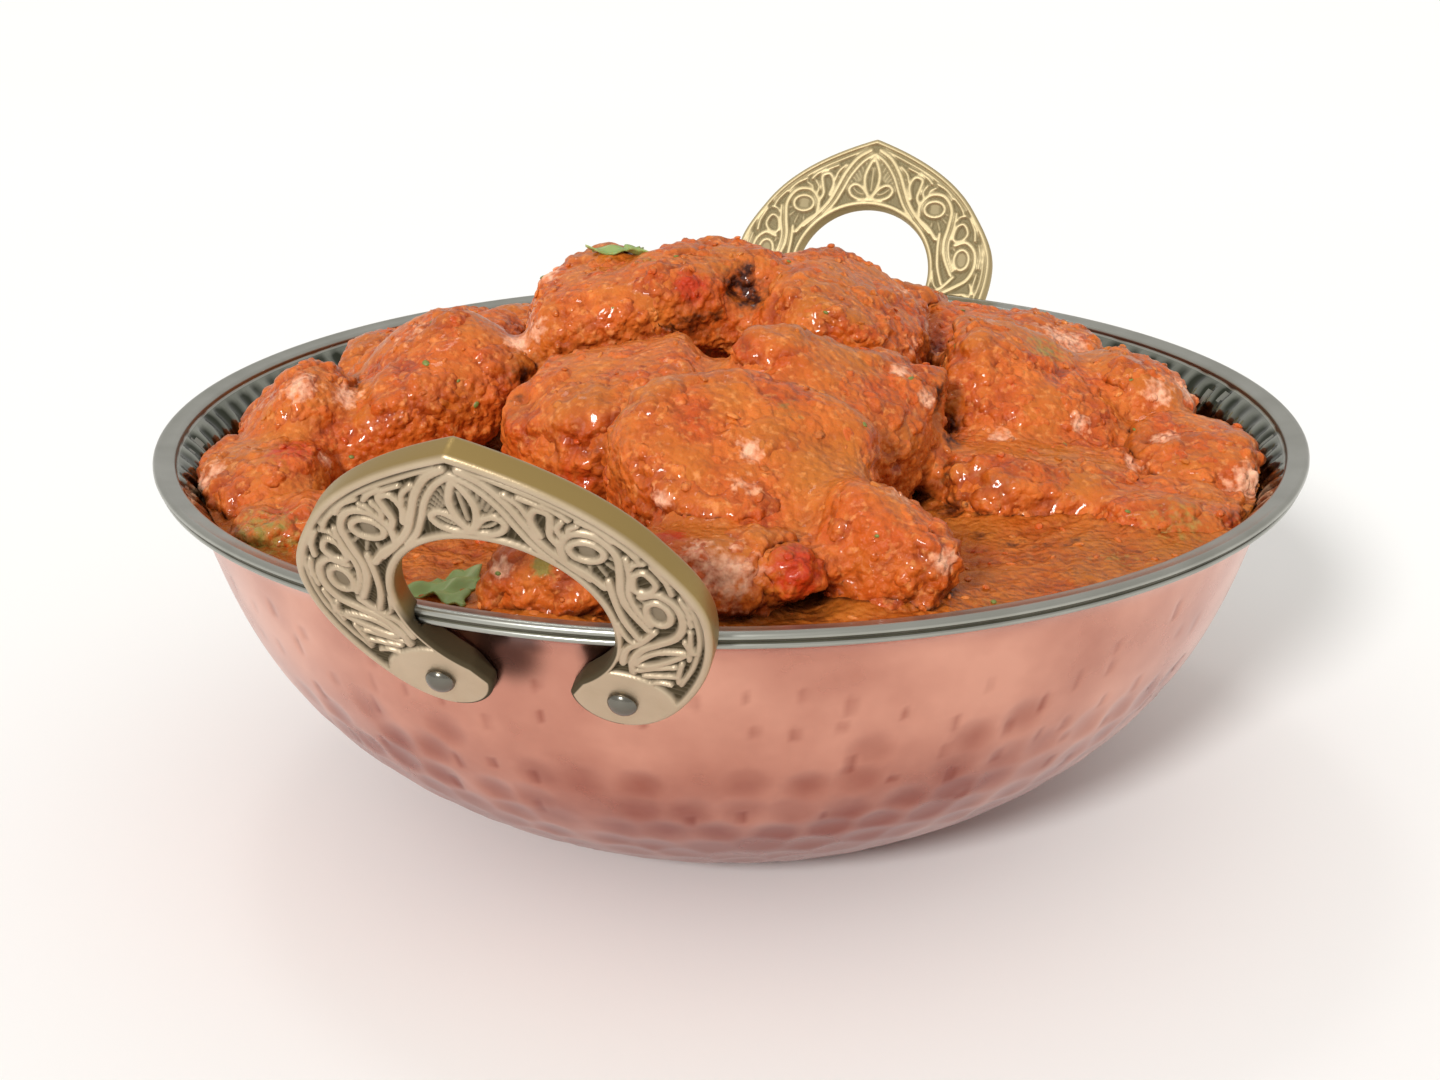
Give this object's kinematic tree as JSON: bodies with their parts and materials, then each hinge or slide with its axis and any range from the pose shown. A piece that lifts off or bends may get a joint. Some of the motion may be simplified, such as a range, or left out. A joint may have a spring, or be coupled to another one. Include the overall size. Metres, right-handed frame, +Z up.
{
  "type": "chicken curry in a serving bowl",
  "caption": "Heaped chicken curry in thick gravy, in a hammered copper and steel kadai with two cast brass handles.",
  "frame": {"origin": "middle of the bowl's flat base, on the table", "axes": "+Z up out of the bowl, +Y away from the front handle's side, +X to the right"},
  "size_m": [0.1648, 0.187, 0.0799],
  "materials": {
    "copper": "satin hammered copper",
    "steel": "satin rim, hammered bright inside",
    "handle_brass": "cast relief with dark patina",
    "rivet_steel": "peened",
    "gravy": "glossy sauce",
    "chicken": "chicken coated in glossy sauce",
    "coriander": "leaf"
  },
  "bodies": {
    "root": {"copper_shell": "copper", "steel_liner": "steel", "handle_front": "handle_brass", "handle_back": "handle_brass", "rivet_front_left": "rivet_steel", "rivet_front_right": "rivet_steel", "rivet_back_left": "rivet_steel", "rivet_back_right": "rivet_steel", "gravy": "gravy", "chicken_front_morsel": "chicken", "chicken_front_right": "chicken", "chicken_front_left": "chicken", "chicken_front_middle": "chicken", "chicken_gap_piece": "chicken", "chicken_middle_left": "chicken", "chicken_middle_right": "chicken", "chicken_top_front": "chicken", "chicken_top_left": "chicken", "chicken_top_right": "chicken", "chicken_left": "chicken", "chicken_right": "chicken", "chicken_right_under": "chicken", "chicken_left_slope": "chicken", "chicken_left_end": "chicken", "chicken_left_low": "chicken", "chicken_right_slope": "chicken", "chicken_right_end": "chicken", "chicken_right_low": "chicken", "chicken_back_left": "chicken", "chicken_back_right": "chicken", "chicken_rear_left": "chicken", "chicken_rear_right": "chicken", "chicken_rear_edge_left": "chicken", "chicken_rear_edge_middle": "chicken", "chicken_rear_edge_right": "chicken", "coriander_front": "coriander", "coriander_sprig": "coriander", "coriander_top": "coriander"}
  },
  "joints": []
}
